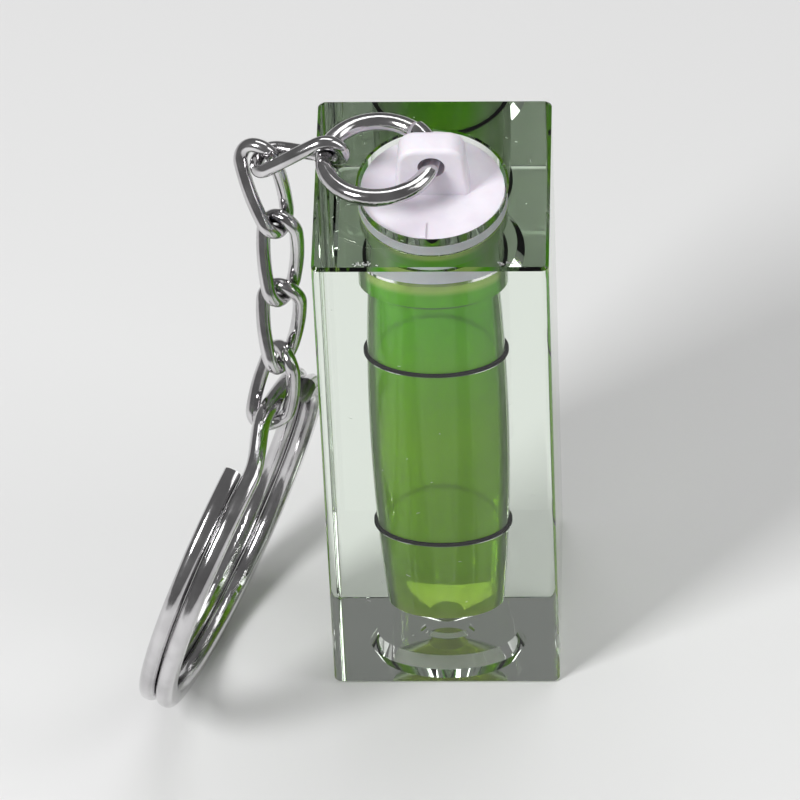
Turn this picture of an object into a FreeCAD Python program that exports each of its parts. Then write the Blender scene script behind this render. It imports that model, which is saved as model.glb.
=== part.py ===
# Keychain bubble level: a clear block with a barrel vial standing on end, a white end plug
# with a lug, a jump ring, five twisted chain links and a double-turn split ring.
# Millimetres. Origin at the centre of the block's base, +Z up the block, +Y away from the
# front face. The chain hangs by the block's left side, and the split ring stands beside it.
import FreeCAD, Part
import Sketcher
import math
import os

from FreeCAD import Placement, Rotation, Vector

SIZES = [
    ("block_side", 15.0, "width and depth of the clear block"),
    ("block_height", 40.0, "height of the clear block"),
    ("block_corner", 0.5, "radius along the four upright edges"),
    ("block_break", 0.2, "edge break round the top and bottom"),
    ("bore_radius", 4.75, "mouth that takes the plug"),
    ("bore_depth", 5.1, "from the top face to the seat shoulder"),
    ("mouth_break", 0.12, "edge break of the mouth"),
    ("shoulder_drop", 0.45, "height of the sloped seat shoulder"),
    ("barrel_radius", 4.52, "vial radius at its widest"),
    ("barrel_drop", 18.0, "the widest place below the top face"),
    ("barrel_curve", 231.0, "radius of the vial wall's bulge"),
    ("barrel_foot", 4.4, "height where the vial narrows to its tip"),
    ("tip_radius", 1.3, "radius of the vial's tip"),
    ("tip_height", 2.6, "height of the vial's tip above the base"),
    ("marker_drop", 19.8, "midway between the marker rings, below the top face"),
    ("marker_spacing", 16.4, "from one marker ring to the other"),
    ("marker_height", 0.3, "height of a marker ring"),
    ("marker_depth", 0.22, "depth of a marker ring's groove"),
    ("recess_radius", 5.2, "base recess at the base face"),
    ("recess_roof_radius", 4.7, "base recess at its roof"),
    ("recess_depth", 1.15, "depth of the base recess"),
    ("dimple_radius", 1.84, "gate dimple in the recess roof"),
    ("dimple_depth", 0.35, "depth of the gate dimple"),
    ("plug_recess", 0.45, "plug disc below the block's top face"),
    ("plug_thickness", 2.7, "height of the plug's disc"),
    ("plug_rim_gap", 0.15, "gap round the plug's visible rim"),
    ("plug_rim_height", 1.1, "height of the plug's visible rim"),
    ("plug_fit", 0.01, "radial clearance of the sealing land"),
    ("plug_lead", 0.35, "lead-in at the plug's lower edge"),
    ("lug_width", 4.8, "lug across its foot"),
    ("lug_top_width", 4.1, "lug across its top"),
    ("lug_thickness", 1.9, "lug from front to back"),
    ("lug_offset", 0.37, "lug's middle behind the plug's middle"),
    ("lug_height", 3.95, "lug above the plug's disc"),
    ("lug_round", 1.15, "rounding of the lug's top corners"),
    ("lug_edge", 0.3, "rounding of the lug's long edges"),
    ("hole_radius", 0.87, "hole through the lug"),
    ("hole_height", 2.5, "hole's centre above the plug's disc"),
    ("vent_width", 0.4, "vent rib on the plug's disc"),
    ("vent_length", 1.3, "length of the vent rib"),
    ("vent_height", 0.15, "height of the vent rib"),
    ("vent_offset", 0.55, "vent rib left of the middle"),
    ("film", 0.01, "clearance of what fills or sits in the vial wall"),
    ("bubble_radius", 3.4, "air bubble under the plug"),
    ("bubble_depth", 1.8, "height of the air bubble"),
    ("bubble_round", 1.2, "rounding of the bubble's lower edge"),
    ("jump_radius", 3.45, "jump ring's wire centre"),
    ("jump_wire", 1.15, "jump ring's wire diameter"),
    ("jump_gap", 0.4, "opening between the jump ring's ends"),
    ("jump_rise", 0.3, "height of one end of the jump ring above the other"),
    ("jump_opening", 49.0, "the opening, from the lug round to the back"),
    ("jump_dip", 0.5, "slope of the jump ring down to the chain"),
    ("jump_seat", 167.0, "where the chain bears, from the lug round the back"),
    ("jump_drop", 0.02, "the wire below the middle of the lug's hole"),
    ("link_wire", 0.93, "chain wire diameter"),
    ("link_inner", 5.2, "clear length inside a link"),
    ("link_width", 3.7, "link across its wires"),
    ("link_twist", 88.0, "twist from one bow of a link to the other"),
    ("split_radius", 11.15, "split ring's wire centre"),
    ("split_wire_width", 1.7, "split ring wire from inside to outside"),
    ("split_wire_height", 1.15, "split ring wire along the ring's axis"),
    ("split_wire_round", 0.5, "rounding of the split ring wire"),
    ("split_turn_gap", 0.05, "clearance between the two turns"),
    ("split_heading", 21.0, "split ring's plane, from +Y towards +X"),
    ("split_bearing", 73.5, "where the last link bears, up from the ring's far side"),
    ("split_reach", 1.2, "wire centre above the last link's bearing face"),
    ("split_crank_start", 7.0, "crank's start past the last link"),
    ("split_crank_length", 27.0, "angle that the crank takes"),
    ("split_end_gap", 20.0, "inner end of the wire short of the last link"),
]

# Run of each link from its upper bearing to its lower one: heading from +X towards +Y, dip
# below level, and the turn of the link about its own length, in degrees. Then how far it
# stands off the wire that it hangs from.
CHAIN = [
    (166.2, 23.6, -32.8, 0.05),
    (305.1, 62.2, -60.0, 0.23),
    (267.4, 74.0, -54.3, 0.1),
    (260.9, 75.6, -40.4, 0.09),
    (218.8, 74.4, 79.0, 0.32),
]

CRANK_SECTIONS = 7
OVERSHOOT = 1.0
TINY = 1e-4

doc = FreeCAD.newDocument("KeychainBubbleLevel")
sheet = doc.addObject("Spreadsheet::Sheet", "Sizes")


class Size:
    """A length that carries its value and the expression that gives it from the sheet."""

    def __init__(self, value, text):
        self.value = float(value)
        self.text = text

    def __float__(self):
        return self.value

    def __add__(self, other):
        other = as_size(other)
        return Size(self.value + other.value, f"({self.text} + {other.text})")

    def __sub__(self, other):
        other = as_size(other)
        return Size(self.value - other.value, f"({self.text} - {other.text})")

    def __mul__(self, other):
        other = as_size(other)
        return Size(self.value * other.value, f"({self.text} * {other.text})")

    def __truediv__(self, other):
        other = as_size(other)
        return Size(self.value / other.value, f"({self.text} / {other.text})")

    def __neg__(self):
        return Size(-self.value, f"(-{self.text})")


def as_size(value):
    return value if isinstance(value, Size) else Size(value, repr(float(value)))


def square_root(size):
    return Size(math.sqrt(size.value), f"sqrt({size.text})")


def fill_sheet():
    """Write every driving size to the sheet and return the sizes by name."""
    named = {}
    for row, (alias, value, meaning) in enumerate(SIZES, start=1):
        sheet.set(f"A{row}", meaning)
        sheet.set(f"B{row}", repr(value))
        sheet.setAlias(f"B{row}", alias)
        named[alias] = Size(value, f"Sizes.{alias}")
    doc.recompute()
    return named


S = fill_sheet()
ZERO = as_size(0.0)
TOP = S["block_height"]
PLUG_TOP = TOP - S["plug_recess"]
PLUG_BOTTOM = PLUG_TOP - S["plug_thickness"]
SHOULDER_TOP = TOP - S["bore_depth"]
SHOULDER_LOW = SHOULDER_TOP - S["shoulder_drop"]
HOLE_HEIGHT = PLUG_TOP + S["hole_height"]
BARREL_MIDDLE = TOP - S["barrel_drop"]
MARKER_MIDDLE = TOP - S["marker_drop"]


def wall_radius(height):
    """Radius of the barrel wall at a height."""
    away = height - BARREL_MIDDLE
    bulge = square_root(S["barrel_curve"] * S["barrel_curve"] - away * away)
    return S["barrel_radius"] - S["barrel_curve"] + bulge


def new_body(label):
    body = doc.addObject("PartDesign::Body", label)
    body.Label = label
    return body


def new_sketch(body, name, role, offset=None):
    """A sketch on one of the body's own origin planes, moved along the plane's normal."""
    sketch = body.newObject("Sketcher::SketchObject", name)
    for feature in body.Origin.OriginFeatures:
        if feature.Role == role:
            sketch.AttachmentSupport = (feature, "")
    sketch.MapMode = "FlatFace"
    if offset is not None:
        sketch.setExpression("AttachmentOffset.Base.z", offset.text)
    return sketch


def pin_point(sketch, geometry, end, x, y):
    """Hold one end of a line or arc at its distances from the sketch's origin."""
    for kind, length, axis in (("DistanceX", x, -2), ("DistanceY", y, -1)):
        if abs(length.value) < TINY:
            sketch.addConstraint(Sketcher.Constraint("PointOnObject", geometry, end, axis))
            continue
        ends = (-1, 1, geometry, end) if length.value > 0 else (geometry, end, -1, 1)
        text = length.text if length.value > 0 else (-length).text
        index = sketch.addConstraint(Sketcher.Constraint(kind, *ends, abs(length.value)))
        sketch.setExpression(f"Constraints[{index}]", text)


def outward_arc(start, end, radius):
    """The short arc from start to end that turns anticlockwise."""
    chord = end - start
    middle = (start + end) / 2.0
    inward = Vector(-chord.y, chord.x, 0).normalize()
    centre = middle + inward * math.sqrt(radius ** 2 - (chord.Length / 2.0) ** 2)
    angles = [math.atan2(point.y - centre.y, point.x - centre.x) for point in (start, end)]
    return Part.ArcOfCircle(Part.Circle(centre, Vector(0, 0, 1), radius), *angles)


def draw_outline(sketch, corners, arcs=None):
    """Draw a closed anticlockwise outline. arcs gives a radius for the side that starts at
    a corner of that number; the other sides are straight."""
    arcs = arcs or {}
    first = sketch.GeometryCount
    points = [Vector(float(x), float(y), 0) for x, y in corners]
    count = len(corners)
    for index, start in enumerate(points):
        end = points[(index + 1) % count]
        if index in arcs:
            sketch.addGeometry(outward_arc(start, end, float(arcs[index])))
        else:
            sketch.addGeometry(Part.LineSegment(start, end))
    for index, (x, y) in enumerate(corners):
        following = first + (index + 1) % count
        sketch.addConstraint(Sketcher.Constraint("Coincident", first + index, 2, following, 1))
        pin_point(sketch, first + index, 1, x, y)
    for index, radius in arcs.items():
        number = sketch.addConstraint(
            Sketcher.Constraint("Radius", first + index, float(radius)))
        sketch.setExpression(f"Constraints[{number}]", radius.text)


def draw_circle(sketch, x, y, radius):
    centre = Vector(float(x), float(y), 0)
    geometry = sketch.addGeometry(Part.Circle(centre, Vector(0, 0, 1), float(radius)))
    pin_point(sketch, geometry, 3, x, y)
    number = sketch.addConstraint(Sketcher.Constraint("Radius", geometry, float(radius)))
    sketch.setExpression(f"Constraints[{number}]", radius.text)


def turned(body, kind, name, corners, arcs=None):
    """Revolve an outline of radius and height about the upright axis, adding or cutting."""
    sketch = new_sketch(body, name + "Outline", "XZ_Plane")
    draw_outline(sketch, corners, arcs)
    before = body.Shape.Volume if kind == "Groove" else 0.0
    feature = body.newObject("PartDesign::" + kind, name)
    feature.Profile = sketch
    feature.ReferenceAxis = (sketch, ["V_Axis"])
    feature.Angle = 360.0
    doc.recompute()
    if kind == "Groove" and not feature.Shape.Volume < before - TINY:
        raise RuntimeError(name + " cuts nothing")
    return feature


def padded(body, name, sketch, length, both_sides=False):
    feature = body.newObject("PartDesign::Pad", name)
    feature.Profile = sketch
    feature.SideType = "Symmetric" if both_sides else "One side"
    feature.setExpression("Length", length.text)
    doc.recompute()
    return feature


def dressed(body, kind, name, base, chosen, size):
    """Fillet or chamfer the edges of base for which chosen says yes."""
    edges = [f"Edge{number}" for number, edge in enumerate(base.Shape.Edges, start=1)
             if chosen(edge)]
    feature = body.newObject("PartDesign::" + kind, name)
    feature.Base = (base, edges)
    feature.setExpression("Radius" if kind == "Fillet" else "Size", size.text)
    doc.recompute()
    return feature


def spans(edge):
    box = edge.BoundBox
    return box.XLength, box.YLength, box.ZLength


def make_block():
    """The clear block with its vial, plug seat, marker grooves and base recess."""
    body = new_body("acrylic_block")
    half = S["block_side"] / 2.0
    sketch = new_sketch(body, "BlockOutline", "XY_Plane")
    draw_outline(sketch, [(-half, -half), (half, -half), (half, half), (-half, half)])
    pad = padded(body, "BlockPad", sketch, TOP)
    rounded = dressed(body, "Fillet", "UprightEdges", pad,
                      lambda edge: spans(edge)[2] > TINY, S["block_corner"])
    dressed(body, "Chamfer", "FaceEdges", rounded,
            lambda edge: spans(edge)[2] < TINY, S["block_break"])

    mouth = S["bore_radius"] + S["mouth_break"]
    turned(body, "Groove", "VialAndSeat", [
        (ZERO, S["tip_height"]),
        (S["tip_radius"], S["tip_height"]),
        (wall_radius(S["barrel_foot"]), S["barrel_foot"]),
        (wall_radius(SHOULDER_LOW), SHOULDER_LOW),
        (S["bore_radius"], SHOULDER_TOP),
        (S["bore_radius"], TOP - S["mouth_break"]),
        (mouth, TOP),
        (mouth, TOP + OVERSHOOT),
        (ZERO, TOP + OVERSHOOT),
    ], {2: S["barrel_curve"]})
    for name, height in marker_heights():
        wall = wall_radius(height)
        low = height - S["marker_height"] / 2.0
        high = height + S["marker_height"] / 2.0
        inside = wall - S["marker_depth"]
        outside = wall + S["marker_depth"]
        turned(body, "Groove", name.title().replace("_", "") + "Groove", [
            (inside, low), (outside, low), (outside, high), (inside, high)])
    roof = S["recess_depth"]
    crown = roof + S["dimple_depth"]
    turned(body, "Groove", "BaseRecess", [
        (ZERO, ZERO),
        (S["recess_radius"], ZERO),
        (S["recess_roof_radius"], roof),
        (S["dimple_radius"], roof),
        (S["dimple_radius"] - S["dimple_depth"], crown),
        (ZERO, crown),
    ])


def marker_heights():
    away = S["marker_spacing"] / 2.0
    return [("marker_ring_upper", MARKER_MIDDLE + away),
            ("marker_ring_lower", MARKER_MIDDLE - away)]


def make_marker_rings():
    """The two black rings that the bubble is read against, flush with the vial wall."""
    for name, height in marker_heights():
        wall = wall_radius(height)
        low = height - S["marker_height"] / 2.0 + S["film"]
        high = height + S["marker_height"] / 2.0 - S["film"]
        inside = wall + S["film"]
        outside = wall + S["marker_depth"] - S["film"]
        turned(new_body(name), "Revolution", name.title().replace("_", ""), [
            (inside, low), (outside, low), (outside, high), (inside, high)])


def make_fluid():
    """The level fluid: it fills the vial up to the plug, round one air bubble."""
    body = new_body("level_fluid")
    film = S["film"]
    surface = PLUG_BOTTOM - film
    turned(body, "Revolution", "Fill", [
        (ZERO, S["tip_height"] + film),
        (S["tip_radius"] - film, S["tip_height"] + film),
        (wall_radius(S["barrel_foot"]) - film, S["barrel_foot"] + film),
        (wall_radius(SHOULDER_LOW) - film, SHOULDER_LOW),
        (S["bore_radius"] - film, SHOULDER_TOP + film),
        (S["bore_radius"] - film, surface),
        (ZERO, surface),
    ], {2: S["barrel_curve"]})
    floor = PLUG_BOTTOM - S["bubble_depth"]
    turned(body, "Groove", "Bubble", [
        (ZERO, floor),
        (S["bubble_radius"] - S["bubble_round"], floor),
        (S["bubble_radius"], floor + S["bubble_round"]),
        (S["bubble_radius"], PLUG_BOTTOM + OVERSHOOT),
        (ZERO, PLUG_BOTTOM + OVERSHOOT),
    ], {1: S["bubble_round"]})


def make_plug():
    """The white end plug: a stepped disc with a lug that takes the jump ring."""
    body = new_body("end_plug")
    rim = S["bore_radius"] - S["plug_rim_gap"]
    land = S["bore_radius"] - S["plug_fit"]
    step = PLUG_TOP - S["plug_rim_height"]
    turned(body, "Revolution", "Disc", [
        (ZERO, PLUG_BOTTOM),
        (land - S["plug_lead"], PLUG_BOTTOM),
        (land, PLUG_BOTTOM + S["plug_lead"]),
        (land, step),
        (rim, step),
        (rim, PLUG_TOP),
        (ZERO, PLUG_TOP),
    ])
    rib = new_sketch(body, "VentRibOutline", "XY_Plane", PLUG_TOP - S["vent_height"])
    left = -(S["vent_offset"] + S["vent_width"] / 2.0)
    right = -(S["vent_offset"] - S["vent_width"] / 2.0)
    front = -(rim - S["vent_height"])
    draw_outline(rib, [(left, front), (right, front), (right, front + S["vent_length"]),
                       (left, front + S["vent_length"])])
    padded(body, "VentRib", rib, S["vent_height"] * 2.0)

    foot = S["lug_width"] / 2.0
    head = S["lug_top_width"] / 2.0
    lug_top = PLUG_TOP + S["lug_height"]
    sunk = PLUG_TOP - S["lug_edge"]
    back = -S["lug_offset"]
    outline = new_sketch(body, "LugOutline", "XZ_Plane", back)
    draw_outline(outline, [(-foot, sunk), (foot, sunk), (head, lug_top), (-head, lug_top)])
    lug = padded(body, "Lug", outline, S["lug_thickness"], both_sides=True)
    corners = dressed(body, "Fillet", "LugCorners", lug, lambda edge: (
        spans(edge)[1] > TINY and edge.CenterOfMass.z > float(lug_top) - TINY
        and spans(edge)[0] < TINY and spans(edge)[2] < TINY), S["lug_round"])
    clear_of_disc = float(PLUG_TOP) + float(S["lug_height"]) / 4.0
    dressed(body, "Fillet", "LugEdges", corners, lambda edge: (
        spans(edge)[1] < TINY and edge.CenterOfMass.z > clear_of_disc), S["lug_edge"])
    hole = new_sketch(body, "HoleOutline", "XZ_Plane", back)
    draw_circle(hole, ZERO, HOLE_HEIGHT, S["hole_radius"])
    before = body.Shape.Volume
    pocket = body.newObject("PartDesign::Pocket", "LugHole")
    pocket.Profile = hole
    pocket.SideType = "Symmetric"
    pocket.setExpression("Length", (S["lug_thickness"] * 2.0).text)
    doc.recompute()
    if not pocket.Shape.Volume < before - TINY:
        raise RuntimeError("LugHole cuts nothing")


def jump_turns():
    around = S["jump_radius"] * (2.0 * math.pi)
    return (around - S["jump_gap"]) / around


def jump_start():
    """Heading of the jump ring's lower end from the lug, in degrees."""
    return float(S["jump_opening"]) + 180.0 * (1.0 - float(jump_turns()))


def jump_point(heading):
    """Wire centre at a heading from the lug, in the jump ring's own level frame."""
    share = ((heading - jump_start()) % 360.0) / (360.0 * float(jump_turns()))
    angle = math.radians(heading)
    radius = float(S["jump_radius"])
    return Vector(radius * math.cos(angle), radius * math.sin(angle),
                  float(S["jump_rise"]) * share)


def jump_placement():
    """Lay the jump ring's wire through the middle of the lug's hole, a little below centre."""
    radius = float(S["jump_radius"])
    reach = float(S["lug_thickness"]) / 2.0
    bow = radius - math.sqrt(radius ** 2 - reach ** 2)
    in_hole = Vector(bow / 2.0, float(S["lug_offset"]),
                     float(HOLE_HEIGHT) - float(S["jump_drop"]))
    slope = Rotation(Vector(0, 1, 0), -float(S["jump_dip"]))
    return Placement(in_hole - slope.multVec(jump_point(0.0)), slope)


def make_jump_ring():
    """One turn of round wire whose ends stand a little apart and off the level."""
    body = new_body("jump_ring")
    sketch = new_sketch(body, "WireSection", "XZ_Plane")
    draw_circle(sketch, S["jump_radius"], ZERO, S["jump_wire"] / 2.0)
    helix = body.newObject("PartDesign::AdditiveHelix", "Turn")
    helix.Profile = sketch
    helix.ReferenceAxis = (sketch, ["V_Axis"])
    helix.Mode = "height-turns-angle"
    helix.setExpression("Height", S["jump_rise"].text)
    helix.setExpression("Turns", jump_turns().text)
    doc.recompute()
    start = Placement(Vector(), Rotation(Vector(0, 0, 1), jump_start()))
    body.Placement = jump_placement().multiply(start)


def add_shape(label, shape, placement):
    feature = doc.addObject("Part::Feature", label)
    feature.Label = label
    feature.Shape = shape
    feature.Placement = placement
    return feature


def run_direction(heading, dip):
    level = math.cos(math.radians(dip))
    return Vector(level * math.cos(math.radians(heading)),
                  level * math.sin(math.radians(heading)),
                  -math.sin(math.radians(dip)))


def link_turn(run, roll):
    """Turn a link so that its own Z runs back up its length."""
    up = run * -1.0
    back = (Vector(0, 1, 0) - up * up.y).normalize()
    across = back.cross(up)
    square = Rotation(across, back, up, "ZXY")
    return square.multiply(Rotation(Vector(0, 0, 1), roll))


def link_sizes():
    """Wire radius, bow radius, straight side and half the length between the bows' crowns."""
    wire = float(S["link_wire"]) / 2.0
    bow = float(S["link_width"]) / 2.0 - wire
    reach = float(S["link_inner"]) / 2.0 + wire
    return wire, bow, reach - bow, reach


def link_point(share):
    """A point of the wire centre, by its share of half the way round the link. The link is
    an oval with straight sides whose two bows are twisted against each other."""
    _, bow, side, reach = link_sizes()
    half = 2.0 * side + math.pi * bow
    turns, along = divmod(share * half, half)
    if along < side:
        x, z = bow, along
    elif along < side + math.pi * bow:
        angle = (along - side) / bow
        x, z = bow * math.cos(angle), side + bow * math.sin(angle)
    else:
        x, z = -bow, 2.0 * side + math.pi * bow - along
    if int(turns) % 2:
        x, z = -x, -z
    heading = math.pi / 2.0 - math.radians(float(S["link_twist"])) / 2.0 * z / reach
    return Vector(x * math.cos(heading), x * math.sin(heading), z)


def link_arcs():
    """Bends of the wire: two arcs that meet smoothly between neighbouring stations."""
    _, bow, side, _ = link_sizes()
    share = side / (2.0 * side + math.pi * bow)
    stations = [turn + stop for turn in (0, 1) for stop in (0.0, share, 0.5, 1.0 - share)]
    points = [link_point(stop) for stop in stations]
    ways = [(link_point(stop + TINY) - link_point(stop - TINY)).normalize()
            for stop in stations]
    arcs = []
    for index, (start, way) in enumerate(zip(points, ways)):
        end = points[(index + 1) % len(points)]
        end_way = ways[(index + 1) % len(points)]
        span = end - start
        both = span.dot(way + end_way)
        spread = 2.0 * (1.0 - way.dot(end_way))
        handle = (math.sqrt(both ** 2 + spread * span.dot(span)) - both) / spread
        first = start + way * handle
        second = end - end_way * handle
        middle = (first + second) * 0.5
        arcs += [(start, first, middle), (middle, second, end)]
    return arcs


def twisted_link():
    """Bend a round bar through every arc of the link and close the skins into a solid."""
    arcs = link_arcs()
    start, corner, _ = arcs[0]
    circle = Part.Circle(start, (corner - start).normalize(), link_sizes()[0])
    disc = Part.Face(Part.Wire(circle.toShape()))
    skins = []
    for start, corner, end in arcs:
        way = (corner - start).normalize()
        axis = way.cross((end - corner).normalize())
        angle = math.asin(axis.Length)
        axis.normalize()
        centre = start + axis.cross(way) * ((corner - start).Length / math.tan(angle / 2.0))
        bar = disc.revolve(centre, axis, math.degrees(angle))
        skins += [face for face in bar.Faces if face.Surface.TypeId == "Part::GeomToroid"]
        disc = disc.copy()
        disc.rotate(centre, axis, math.degrees(angle))
    shell = Part.Shell(skins)
    shell.sewShape()
    return Part.Solid(shell)


def chain_pivots():
    """Wire centres that the links hang from, with each link's run and turn, then the bearing
    face at the foot of the last link."""
    wire = float(S["link_wire"]) / 2.0
    pivot = jump_placement().multVec(jump_point(float(S["jump_seat"])))
    held = float(S["jump_wire"]) / 2.0
    links = []
    for heading, dip, roll, stand_off in CHAIN:
        run = run_direction(heading, dip)
        top = pivot - run * (held + stand_off)
        foot = top + run * float(S["link_inner"])
        links.append((pivot, (top + foot) / 2.0, run, roll))
        pivot = foot + run * wire
        held = wire
    return links, foot


def make_chain():
    shape = twisted_link()
    for number, (pivot, centre, run, roll) in enumerate(chain_pivots()[0], start=1):
        add_shape(f"chain_link_{number}", shape.copy(), Placement(centre, link_turn(run, roll)))


def wire_section(angle, offset):
    """The split ring's flattened wire, cut at an angle round the ring."""
    half_width = float(S["split_wire_width"]) / 2.0
    half_height = float(S["split_wire_height"]) / 2.0
    corner = float(S["split_wire_round"])
    radius = float(S["split_radius"])
    diagonal = corner * (1.0 - math.sqrt(0.5))
    edges = []
    for right, up in ((1, 1), (-1, 1), (-1, -1), (1, -1)):
        side = Vector(radius + right * half_width, 0, up * (half_height - corner))
        face = Vector(radius + right * (half_width - corner), 0, up * half_height)
        between = Vector(side.x - right * diagonal, 0, face.z - up * diagonal)
        ends = (side, face) if right * up > 0 else (face, side)
        edges.append((ends[0], between, ends[1]))
    parts = []
    for index, (start, between, end) in enumerate(edges):
        parts.append(Part.Arc(start, between, end).toShape())
        parts.append(Part.makeLine(end, edges[(index + 1) % 4][0]))
    wire = Part.Wire(parts)
    wire.Placement = Placement(Vector(0, 0, offset), Rotation(Vector(0, 0, 1), angle))
    return wire


def flat_turn(start, end, offset):
    face = Part.Face(wire_section(start, offset))
    return face.revolve(Vector(), Vector(0, 0, 1), end - start)


def split_ring_shape():
    """Two flat turns of wire joined by a crank, with both ends clear of the last link."""
    bearing = float(S["split_bearing"])
    crank_start = bearing + float(S["split_crank_start"])
    crank_end = crank_start + float(S["split_crank_length"])
    offset = (float(S["split_wire_height"]) + float(S["split_turn_gap"])) / 2.0
    outer = flat_turn(crank_end, crank_start + 360.0, -offset)
    inner = flat_turn(crank_end, bearing - float(S["split_end_gap"]) + 360.0, offset)
    sections = []
    for index in range(CRANK_SECTIONS):
        share = index / (CRANK_SECTIONS - 1.0)
        rise = share * share * (3.0 - 2.0 * share)
        angle = crank_start + share * (crank_end - crank_start)
        sections.append(wire_section(angle, offset * (2.0 * rise - 1.0)))
    crank = Part.makeLoft(sections, True, False)
    return outer.fuse([crank, inner]).removeSplitter()


def split_ring_placement():
    """Lean the ring so that it stands on the ground with its wire in the last link's foot."""
    links, foot = chain_pivots()
    held = foot - links[-1][2] * float(S["split_reach"])
    radius = float(S["split_radius"])
    height = float(S["split_wire_height"])
    gap = float(S["split_turn_gap"])
    offset = (height + gap) / 2.0
    bearing = math.radians(float(S["split_bearing"]))
    tall = radius * math.sin(bearing) + radius + float(S["split_wire_width"]) / 2.0
    thick = offset + height + gap / 2.0
    upright = min(1.0, held.z / math.hypot(tall, thick))
    lean = math.atan2(thick, tall) + math.acos(upright)
    heading = math.radians(float(S["split_heading"]))
    away = Vector(-math.cos(heading), math.sin(heading), 0)
    along = Vector(math.sin(heading), math.cos(heading), 0)
    normal = away * math.cos(lean) + Vector(0, 0, math.sin(lean))
    up = away * -math.sin(lean) + Vector(0, 0, math.cos(lean))
    spoke = along * math.cos(bearing) + up * math.sin(bearing)
    centre = held - spoke * radius - normal * offset
    return Placement(centre, Rotation(along, up, normal * -1.0, "ZXY"))


def make_split_ring():
    add_shape("split_ring", split_ring_shape(), split_ring_placement())


def sub_parts():
    return [obj for obj in doc.Objects
            if obj.TypeId in ("PartDesign::Body", "Part::Feature")]


def check_document():
    for obj in doc.Objects:
        if "Invalid" in obj.State or "Error" in obj.State:
            raise RuntimeError(f"{obj.Name} did not compute: {obj.State}")
    for obj in sub_parts():
        if obj.Shape.isNull() or not obj.Shape.isValid() or len(obj.Shape.Solids) != 1:
            raise RuntimeError(f"{obj.Label} is not one sound solid")


def write_parts():
    os.makedirs("parts", exist_ok=True)
    for obj in sub_parts():
        obj.Shape.exportStep(f"parts/{obj.Label}.step")
        print(f"{obj.Label}: {obj.Shape.Volume:.2f} mm3")


make_block()
make_marker_rings()
make_fluid()
make_plug()
make_jump_ring()
make_chain()
make_split_ring()
doc.recompute()
check_document()
write_parts()
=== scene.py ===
# Dresses the keychain bubble level. Metres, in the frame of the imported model, except where a
# size is said to be in millimetres.
import math
import random

import bpy
import numpy as np
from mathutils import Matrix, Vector


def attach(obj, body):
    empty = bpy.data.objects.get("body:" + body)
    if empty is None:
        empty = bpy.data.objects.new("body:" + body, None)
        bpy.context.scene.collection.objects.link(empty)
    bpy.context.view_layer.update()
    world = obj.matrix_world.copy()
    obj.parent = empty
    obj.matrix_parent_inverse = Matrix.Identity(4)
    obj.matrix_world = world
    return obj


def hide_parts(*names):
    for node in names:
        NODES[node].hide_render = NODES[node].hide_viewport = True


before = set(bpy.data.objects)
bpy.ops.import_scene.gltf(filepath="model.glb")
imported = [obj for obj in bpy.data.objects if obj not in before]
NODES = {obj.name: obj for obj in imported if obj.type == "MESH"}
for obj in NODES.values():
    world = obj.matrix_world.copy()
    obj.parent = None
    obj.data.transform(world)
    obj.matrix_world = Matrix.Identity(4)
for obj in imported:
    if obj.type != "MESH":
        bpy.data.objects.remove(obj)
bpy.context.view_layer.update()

MM = 0.001
# Edges of turned pieces that bend by more than this stay sharp.
SHARP_EDGE = math.radians(35)

# Wire of the links in millimetres, and the twist of one bow against the other.
LINK_WIRE = 0.93
LINK_TWIST = math.radians(88)
# Only the strands this near to a link's middle show which way it lies flat.
LINK_WAIST = 0.5
# Width of each link in millimetres, and its turn from its solid in degrees. Both were found
# by fitting the links to the photograph.
LINKS = {"chain_link_1": (3.3, -9.5), "chain_link_2": (3.1, -5.0), "chain_link_3": (3.1, -21.0),
         "chain_link_4": (3.3, -25.0), "chain_link_5": (3.3, -9.0)}

# Vial, plug, markers and block, in millimetres, as the solids have them. Three values are the
# scene's own: OVERLAP sinks a piece into its neighbour, MARKER_GAP is left under a marker, and
# LAND_LOW, where the plug's seal starts, is 0.1 below the sealing land of the solid.
BARREL_RADIUS = 4.52
BARREL_MIDDLE = 22.0
BARREL_CURVE = 231.0
BARREL_FOOT = 4.4
TIP_RADIUS = 1.3
TIP_HEIGHT = 2.6
BORE_RADIUS = 4.75
SHOULDER_TOP = 34.9
SHOULDER_LOW = 34.45
PLUG_BOTTOM = 36.85
OVERLAP = 0.02
BUBBLE_RADIUS = 3.4
BUBBLE_DEPTH = 1.8
BUBBLE_ROUND = 1.2
HALF_SIDE = 7.5
BLOCK_TOP = 40.0
MARKERS = {"marker_ring_upper": 28.4, "marker_ring_lower": 12.0}
MARKER_HEIGHT = 0.3
MARKER_DEPTH = 0.22
MARKER_GAP = 0.06
LAND_RADIUS = 4.74
LAND_LOW = 37.1
LAND_TOP = 38.45

# Marks on the block, in millimetres. They lie MARK_SKIN under its surface, and each has a
# share of the longest length. Chips come in groups, given by the place of the group's middle
# along the front edge and a count.
MARK_SKIN = 0.004
MARK_SHARES = (0.3, 1.0)
CHIPS = ((-4.1, 12), (5.1, 14))
CHIP_SPREAD = 0.8
CHIP_EDGE = (-7.15, -6.85)
CHIP_LENGTH = 0.34
CHIP_WIDTH = 0.09
SPECKS = 16
SPECK_REACH = 6.6
SPECK_HEIGHTS = (3.0, 38.0)
SPECK_WIDTH = 0.035
FRONT_SPECK_LENGTH = 0.34
TOP_SPECK_LENGTH = 0.22

# Floor, in metres. It lies FLOOR_GAP below the base, so that the two faces don't coincide.
FLOOR_SIZE = 3.0
FLOOR_MIDDLE = 0.5
FLOOR_GAP = 0.00003

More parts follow.
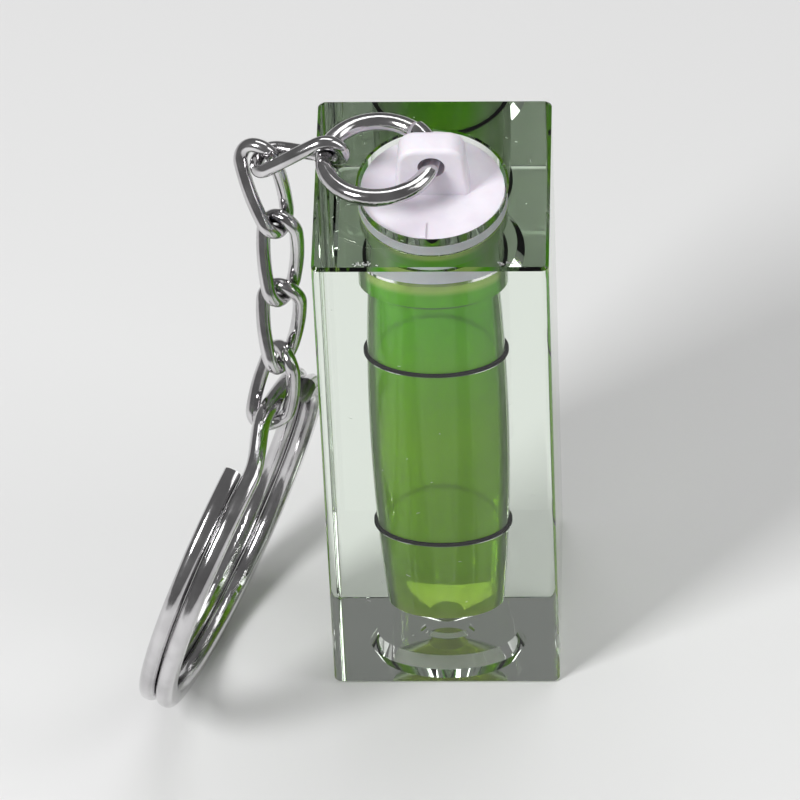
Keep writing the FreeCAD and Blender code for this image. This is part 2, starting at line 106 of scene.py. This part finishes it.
# Lamps: place and size in metres, and power in watts. All of them aim at one point.
AIM = (0.0, 0.0, 0.02)
LAMPS = {"key": ((-0.20, -0.16, 0.26), (0.09, 0.12), 0.82),
         "fill": ((0.26, -0.05, 0.20), (0.12, 0.24), 0.20),
         "back": ((0.04, 0.15, 0.36), (0.30, 0.12), 0.32)}
WHITE = (1.0, 1.0, 1.0, 1.0)
ROOM_LIGHT = 0.36
MIRRORED_LIGHT = 0.16
BACKDROP = (0.86, 0.86, 0.86, 1.0)


def shader(name, color, metallic=0.0, roughness=0.3, **sockets):
    """A Principled material. Returns it with its node tree and shader node."""
    material = bpy.data.materials.new(name)
    material.use_nodes = True
    tree = material.node_tree
    node = tree.nodes["Principled BSDF"]
    node.inputs["Base Color"].default_value = (*color, 1.0)
    node.inputs["Metallic"].default_value = metallic
    node.inputs["Roughness"].default_value = roughness
    for socket, value in sockets.items():
        node.inputs[socket.replace("_", " ")].default_value = value
    return material, tree, node


def noise(tree, scale, detail=4.0):
    """Noise in object coordinates."""
    place = tree.nodes.new("ShaderNodeTexCoord")
    texture = tree.nodes.new("ShaderNodeTexNoise")
    texture.inputs["Scale"].default_value = scale
    texture.inputs["Detail"].default_value = detail
    tree.links.new(place.outputs["Object"], texture.inputs["Vector"])
    return texture.outputs["Fac"]


def ramp(tree, source, low, high, start=0.4, end=0.6):
    """Turn a value into a grey or a colour: low up to start, high from end on."""
    node = tree.nodes.new("ShaderNodeValToRGB")
    for element, position, value in zip(node.color_ramp.elements, (start, end), (low, high)):
        element.position = position
        element.color = (*value, 1.0) if isinstance(value, tuple) else (value,) * 3 + (1.0,)
    tree.links.new(source, node.inputs["Fac"])
    return node.outputs["Color"]


def bump(tree, node, source, strength, distance):
    """Fine relief on a shader, from a noise value."""
    relief = tree.nodes.new("ShaderNodeBump")
    relief.inputs["Strength"].default_value = strength
    relief.inputs["Distance"].default_value = distance
    tree.links.new(source, relief.inputs["Height"])
    tree.links.new(relief.outputs["Normal"], node.inputs["Normal"])


def clear_acrylic():
    """Clear block, greener the longer the way through it, with a few rubbed patches."""
    material, tree, node = shader("clear_acrylic", (0.98, 0.995, 0.975), roughness=0.015,
                                  Transmission_Weight=1.0, IOR=1.49)
    rubbed = ramp(tree, noise(tree, 900.0, detail=6.0), low=0.006, high=0.05, start=0.55,
                  end=0.8)
    tree.links.new(rubbed, node.inputs["Roughness"])
    absorption = tree.nodes.new("ShaderNodeVolumeAbsorption")
    absorption.inputs["Color"].default_value = (0.52, 0.90, 0.44, 1.0)
    absorption.inputs["Density"].default_value = 8.0
    tree.links.new(absorption.outputs["Volume"],
                   tree.nodes["Material Output"].inputs["Volume"])
    return material


def blend(tree, kind, factor, first, second):
    """Mix two colours. The factor is a number or a socket."""
    node = tree.nodes.new("ShaderNodeMix")
    node.data_type = "RGBA"
    node.blend_type = kind
    slots = {socket.identifier: socket for socket in node.inputs}
    if isinstance(factor, float):
        slots["Factor_Float"].default_value = factor
    else:
        tree.links.new(factor, slots["Factor_Float"])
    tree.links.new(first, slots["A_Color"])
    tree.links.new(second, slots["B_Color"])
    return {socket.identifier: socket for socket in node.outputs}["Result_Color"]


def by_height(tree, stops):
    """A colour that changes with the height in the object, from pairs of height in
    millimetres and colour."""
    place = tree.nodes.new("ShaderNodeTexCoord")
    parts = tree.nodes.new("ShaderNodeSeparateXYZ")
    scaled = tree.nodes.new("ShaderNodeMath")
    scaled.operation = "DIVIDE"
    scaled.inputs[1].default_value = BLOCK_TOP * MM
    tree.links.new(place.outputs["Object"], parts.inputs["Vector"])
    tree.links.new(parts.outputs["Z"], scaled.inputs[0])
    node = tree.nodes.new("ShaderNodeValToRGB")
    elements = node.color_ramp.elements
    while len(elements) < len(stops):
        elements.new(0.5)
    for element, (height, color) in zip(elements, stops):
        element.position = height / BLOCK_TOP
        element.color = (*color, 1.0)
    tree.links.new(scaled.outputs["Value"], node.inputs["Fac"])
    return node.outputs["Color"]


def level_fluid():
    """Dense green fluid, paler at the foot, with painted highlight under the plug and painted
    reflection at its rims.
    """
    material, tree, node = shader("green_fluid", (0.11, 0.34, 0.01), roughness=0.05,
                                  Transmission_Weight=0.42, IOR=1.36)
    # The last stop, near the top, paints a pale highlight in the band just under the plug.
    body = by_height(tree, [(3.0, (0.62, 0.76, 0.18)), (5.5, (0.40, 0.68, 0.05)),
                            (9.0, (0.29, 0.64, 0.012)), (22.0, (0.28, 0.64, 0.008)),
                            (33.0, (0.16, 0.64, 0.005)), (35.9, (0.18, 0.68, 0.008)),
                            (36.4, (0.70, 0.94, 0.26))])
    cloud = ramp(tree, noise(tree, 160.0, detail=2.0), low=0.82, high=1.0, start=0.3, end=0.7)
    clouded = blend(tree, "MULTIPLY", 1.0, body, cloud)
    # Where the fluid is seen edge-on, a pale grey-green painted reflection is mixed into its
    # colour.
    grazing = tree.nodes.new("ShaderNodeLayerWeight")
    grazing.inputs["Blend"].default_value = 0.5
    painted_reflection_mask = ramp(tree, grazing.outputs["Facing"], low=0.0, high=1.0, start=0.52, end=0.66)
    painted_rim_reflection = ramp(tree, noise(tree, 200.0, detail=2.0), low=(0.34, 0.46, 0.27),
               high=(0.44, 0.56, 0.38))
    tree.links.new(blend(tree, "MIX", painted_reflection_mask, clouded, painted_rim_reflection), node.inputs["Base Color"])
    return material


def white_plug():
    """Lilac-white moulded plastic with a faint grain."""
    material, tree, node = shader("white_plug", (0.84, 0.79, 0.87), roughness=0.38,
                                  Subsurface_Weight=0.15, Subsurface_Scale=0.0006)
    tone = ramp(tree, noise(tree, 420.0, detail=5.0), low=(0.81, 0.76, 0.84),
                high=(0.87, 0.83, 0.90))
    tree.links.new(tone, node.inputs["Base Color"])
    bump(tree, node, noise(tree, 3000.0), strength=0.08, distance=0.00003)
    return material


def black_marker():
    """Matt black that hardly reflects."""
    material, tree, node = shader("black_marker", (0.004, 0.004, 0.004), roughness=0.6,
                                  Specular_IOR_Level=0.05)
    tree.links.new(ramp(tree, noise(tree, 700.0), low=0.002, high=0.008),
                   node.inputs["Base Color"])
    return material


def plating(name, scale):
    """Bright plating with a little tarnish and a faint grain. A larger scale is finer."""
    material, tree, node = shader(name, (0.62, 0.61, 0.62), metallic=1.0, roughness=0.13)
    tarnish = ramp(tree, noise(tree, scale, detail=6.0), low=(0.46, 0.45, 0.46),
                   high=(0.66, 0.65, 0.66), start=0.3, end=0.6)
    tree.links.new(tarnish, node.inputs["Base Color"])
    rubbed = ramp(tree, noise(tree, scale * 2.0, detail=5.0), low=0.07, high=0.22, start=0.35,
                  end=0.75)
    tree.links.new(rubbed, node.inputs["Roughness"])
    bump(tree, node, noise(tree, scale * 6.0, detail=3.0), strength=0.12, distance=0.00003)
    return material


def dress(node, material):
    """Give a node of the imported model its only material."""
    NODES[node].data.materials.clear()
    NODES[node].data.materials.append(material)


def wall(height):
    """Radius of the vial at a height, in millimetres."""
    away = height - BARREL_MIDDLE
    return BARREL_RADIUS - BARREL_CURVE + math.sqrt(BARREL_CURVE ** 2 - away ** 2)


def turned(name, outline, material, steps=96):
    """Revolve an outline of radius and height in millimetres about the upright axis. A
    radius of nothing makes a pole."""
    vertices, rings = [], []
    for radius, height in outline:
        if radius == 0.0:
            rings.append([len(vertices)])
            vertices.append((0.0, 0.0, height * MM))
            continue
        ring = []
        for step in range(steps):
            angle = 2.0 * math.pi * step / steps
            ring.append(len(vertices))
            vertices.append((radius * MM * math.cos(angle), radius * MM * math.sin(angle),
                             height * MM))
        rings.append(ring)
    faces = []
    for low, high in zip(rings, rings[1:]):
        for step in range(steps):
            following = (step + 1) % steps
            if len(low) == 1:
                faces.append((low[0], high[following], high[step]))
            elif len(high) == 1:
                faces.append((low[step], low[following], high[0]))
            else:
                faces.append((low[step], low[following], high[following], high[step]))
    mesh = bpy.data.meshes.new(name)
    mesh.from_pydata(vertices, [], faces)
    mesh.shade_smooth()
    mesh.set_sharp_from_angle(angle=SHARP_EDGE)
    mesh.materials.append(material)
    obj = bpy.data.objects.new(name, mesh)
    bpy.context.scene.collection.objects.link(obj)
    return obj


def fluid_outline(wall_steps=30, round_steps=8):
    """From the foot up the vial wall, across under the plug and down round the bubble."""
    outline = [(0.0, TIP_HEIGHT - OVERLAP), (TIP_RADIUS + OVERLAP, TIP_HEIGHT - OVERLAP)]
    for step in range(wall_steps + 1):
        height = BARREL_FOOT + (SHOULDER_LOW - BARREL_FOOT) * step / wall_steps
        outline.append((wall(height) + OVERLAP, height))
    outline.append((BORE_RADIUS + OVERLAP, SHOULDER_TOP))
    outline.append((BORE_RADIUS + OVERLAP, PLUG_BOTTOM - OVERLAP))
    outline.append((BUBBLE_RADIUS, PLUG_BOTTOM - OVERLAP))
    floor = PLUG_BOTTOM - BUBBLE_DEPTH
    for step in range(round_steps + 1):
        angle = math.radians(90.0 * step / round_steps)
        outline.append((BUBBLE_RADIUS - BUBBLE_ROUND + BUBBLE_ROUND * math.cos(angle),
                        floor + BUBBLE_ROUND - BUBBLE_ROUND * math.sin(angle)))
    outline.append((0.0, floor))
    return outline


def link_axes(node):
    """Centre, own axes and length in millimetres of a twisted link, from its solid."""
    mesh = NODES[node].data
    mesh.calc_loop_triangles()
    world = np.array(NODES[node].matrix_world)
    points = np.array([vertex.co for vertex in mesh.vertices]) @ world[:3, :3].T + world[:3, 3]
    corners = points[np.array([face.vertices for face in mesh.loop_triangles])] / MM
    middles = corners.mean(axis=1)
    areas = np.linalg.norm(np.cross(corners[:, 1] - corners[:, 0],
                                    corners[:, 2] - corners[:, 0]), axis=1)
    centre = np.average(middles, axis=0, weights=areas)
    away = middles - centre
    run = np.linalg.eigh(np.cov(away.T, aweights=areas))[1][:, 2]
    run *= np.sign(run[2])
    height = away @ run
    waist = np.abs(height) < LINK_WAIST
    flat = away[waist] - np.outer(height[waist], run)
    strands = np.linalg.eigh(np.cov(flat.T, aweights=areas[waist]))[1][:, 2]
    return centre, np.cross(strands, run), strands, run, np.ptp(points @ run) / MM


def link_line(node, stations=144):
    """Wire centres of a link: an oval whose two bows are twisted against each other."""
    width, turn = LINKS[node]
    centre, across, strands, run, length = link_axes(node)
    bow = (width - LINK_WIRE) / 2.0
    reach = (length - LINK_WIRE) / 2.0
    side = reach - bow
    half = 2.0 * side + math.pi * bow
    line = []
    for station in range(stations):
        turns, along = divmod(2.0 * half * station / stations, half)
        if along < side:
            x, z = bow, along
        elif along < side + math.pi * bow:
            angle = (along - side) / bow
            x, z = bow * math.cos(angle), side + bow * math.sin(angle)
        else:
            x, z = -bow, half - along
        if turns:
            x, z = -x, -z
        heading = math.pi / 2.0 - LINK_TWIST / 2.0 * z / reach + math.radians(turn)
        line.append(centre + x * math.cos(heading) * across + x * math.sin(heading) * strands
                    + z * run)
    return [Vector(point) for point in line]


def add_link(node, material, sides=20):
    """A round bar along the link's closed line, in place of its solid."""
    line = link_line(node)
    count = len(line)
    ways = [(line[(step + 1) % count] - line[step - 1]).normalized() for step in range(count)]
    normals = [ways[0].orthogonal().normalized()]
    for way in ways[1:] + ways[:1]:
        normals.append((normals[-1] - way * normals[-1].dot(way)).normalized())
    # The turn that the section has made after one round is taken back evenly along the bar.
    slip = math.atan2(ways[0].cross(normals[0]).dot(normals[-1]), normals[0].dot(normals[-1]))
    vertices = []
    for step, (point, way) in enumerate(zip(line, ways)):
        second = way.cross(normals[step])
        for side in range(sides):
            angle = 2.0 * math.pi * side / sides - slip * step / count
            vertices.append((point + (normals[step] * math.cos(angle) + second * math.sin(angle))
                             * (LINK_WIRE / 2.0)) * MM)
    faces = []
    for step in range(count):
        low, high = step * sides, (step + 1) % count * sides
        for side in range(sides):
            after = (side + 1) % sides
            faces.append((low + side, low + after, high + after, high + side))
    mesh = bpy.data.meshes.new(node + "_bar")
    mesh.from_pydata(vertices, [], faces)
    mesh.shade_smooth()
    mesh.materials.append(material)
    bar = bpy.data.objects.new(node + "_bar", mesh)
    bpy.context.scene.collection.objects.link(bar)
    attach(bar, node)
    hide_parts(node)


def add_fluid():
    """The fluid with its air bubble, a little larger than the cavity that holds it."""
    fluid = turned("fluid_fill", fluid_outline(), level_fluid())
    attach(fluid, "level")
    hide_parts("level_fluid")


def add_markers():
    """Black rings in their grooves, with a fine gap under each one that shows as a pale line."""
    material = black_marker()
    for node, height in MARKERS.items():
        low = height - MARKER_HEIGHT / 2.0 + MARKER_GAP
        high = height + MARKER_HEIGHT / 2.0 + OVERLAP
        inside = wall(height) - 2.0 * OVERLAP
        outside = wall(height) + MARKER_DEPTH + OVERLAP
        ring = turned(node + "_fill", [(inside, low), (outside, low), (outside, high),
                                       (inside, high), (inside, low)], material)
        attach(ring, "level")
        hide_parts(node)


def add_seal(material):
    """The plug's sealing land, pressed a little into the wall of the bore."""
    inside = LAND_RADIUS - 3.0 * OVERLAP
    outside = BORE_RADIUS + OVERLAP
    seal = turned("plug_seal", [(inside, LAND_LOW), (outside, LAND_LOW), (outside, LAND_TOP),
                                (inside, LAND_TOP), (inside, LAND_LOW)], material)
    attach(seal, "level")


def sliver(vertices, faces, middle, first_way, second_way, length, width):
    """A thin flat mark, in millimetres, along the first of two directions in its face."""
    start = len(vertices)
    for along, across in ((-1, -1), (1, -1), (1, 1), (-1, 1)):
        vertices.append(middle + first_way * (along * length / 2.0)
                        + second_way * (across * width / 2.0))
    faces.append(tuple(range(start, start + 4)))


def add_marks():
    """Chips along the front edge of the top face, and specks on the top and front faces."""
    random.seed(7)
    material, tree, node = shader("chip_frost", (0.92, 0.95, 0.92), roughness=0.6)
    tree.links.new(ramp(tree, noise(tree, 2000.0), low=0.8, high=0.96),
                   node.inputs["Base Color"])
    vertices, faces = [], []

    def mark(x, y, z, longest, width, on_top):
        lean = random.uniform(0.0, math.pi)
        flat, deep = math.cos(lean), math.sin(lean)
        first = Vector((flat, deep, 0.0)) if on_top else Vector((flat, 0.0, deep))
        second = Vector((-deep, flat, 0.0)) if on_top else Vector((-deep, 0.0, flat))
        length = random.uniform(*MARK_SHARES) * longest
        sliver(vertices, faces, Vector((x, y, z)), first, second, length, width)

    for middle, count in CHIPS:
        for _ in range(count):
            mark(middle + random.uniform(-CHIP_SPREAD, CHIP_SPREAD), random.uniform(*CHIP_EDGE),
                 BLOCK_TOP - MARK_SKIN, CHIP_LENGTH, CHIP_WIDTH, True)
    for _ in range(SPECKS):
        mark(random.uniform(-SPECK_REACH, SPECK_REACH), -HALF_SIDE + MARK_SKIN,
             random.uniform(*SPECK_HEIGHTS), FRONT_SPECK_LENGTH, SPECK_WIDTH, False)
        mark(random.uniform(-SPECK_REACH, SPECK_REACH), random.uniform(-SPECK_REACH, SPECK_REACH),
             BLOCK_TOP - MARK_SKIN, TOP_SPECK_LENGTH, SPECK_WIDTH, True)
    mesh = bpy.data.meshes.new("surface_marks")
    mesh.from_pydata([vertex * MM for vertex in vertices], [], faces)
    mesh.materials.append(material)
    marks = bpy.data.objects.new("surface_marks", mesh)
    bpy.context.scene.collection.objects.link(marks)
    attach(marks, "level")


def add_floor():
    """A pale floor with a faint mottle."""
    bpy.ops.mesh.primitive_plane_add(size=FLOOR_SIZE, location=(0.0, FLOOR_MIDDLE, -FLOOR_GAP))
    floor = bpy.context.object
    floor.name = "floor"
    material, tree, node = shader("pale_floor", (0.80, 0.80, 0.80), roughness=0.55)
    tree.links.new(ramp(tree, noise(tree, 3.0), low=0.78, high=0.82), node.inputs["Base Color"])
    floor.data.materials.append(material)


def add_lamp(name, place, size, power):
    """A soft rectangular lamp that aims at the object."""
    data = bpy.data.lights.new(name, "AREA")
    data.shape = "RECTANGLE"
    data.size, data.size_y = size
    data.energy = power
    lamp = bpy.data.objects.new(name, data)
    lamp.location = place
    lamp.rotation_euler = (Vector(AIM) - Vector(place)).to_track_quat("-Z", "Y").to_euler()
    bpy.context.scene.collection.objects.link(lamp)


def add_world():
    """An even room. Mirrored rays see it dimmer, and the camera sees a pale backdrop."""
    world = bpy.data.worlds.new("studio")
    world.use_nodes = True
    tree = world.node_tree
    tree.nodes.remove(tree.nodes["Background"])
    path = tree.nodes.new("ShaderNodeLightPath")

    def light(color, strength):
        node = tree.nodes.new("ShaderNodeBackground")
        node.inputs["Color"].default_value = color
        node.inputs["Strength"].default_value = strength
        return node.outputs["Background"]

    def choose(ray, others, chosen):
        node = tree.nodes.new("ShaderNodeMixShader")
        tree.links.new(path.outputs[ray], node.inputs["Fac"])
        tree.links.new(others, node.inputs[1])
        tree.links.new(chosen, node.inputs[2])
        return node.outputs["Shader"]

    room = choose("Is Glossy Ray", light(WHITE, ROOM_LIGHT), light(WHITE, MIRRORED_LIGHT))
    seen = choose("Is Camera Ray", room, light(BACKDROP, 1.0))
    tree.links.new(seen, tree.nodes["World Output"].inputs["Surface"])
    bpy.context.scene.world = world


def add_camera():
    """The photograph's view, as solved from the corners of the block."""
    data = bpy.data.cameras.new("photo_view")
    data.sensor_width = 36.0
    data.lens = 376.94
    data.clip_start = 0.01
    data.clip_end = 10.0
    camera = bpy.data.objects.new("photo_view", data)
    camera.location = (0.019583, -0.369166, 0.423017)
    camera.rotation_euler = (0.741509, 0.031871, 0.025508)
    bpy.context.scene.collection.objects.link(camera)
    bpy.context.scene.camera = camera


dress("acrylic_block", clear_acrylic())
plug_white = white_plug()
dress("end_plug", plug_white)
add_seal(plug_white)
add_markers()
chain_metal = plating("chain_plating", 500.0)
dress("jump_ring", chain_metal)
for link in LINKS:
    add_link(link, chain_metal)
dress("split_ring", plating("ring_plating", 350.0))
add_fluid()
add_marks()
add_floor()
for lamp in LAMPS:
    add_lamp(lamp, *LAMPS[lamp])
add_world()
add_camera()
bpy.context.scene.view_settings.view_transform = "Standard"
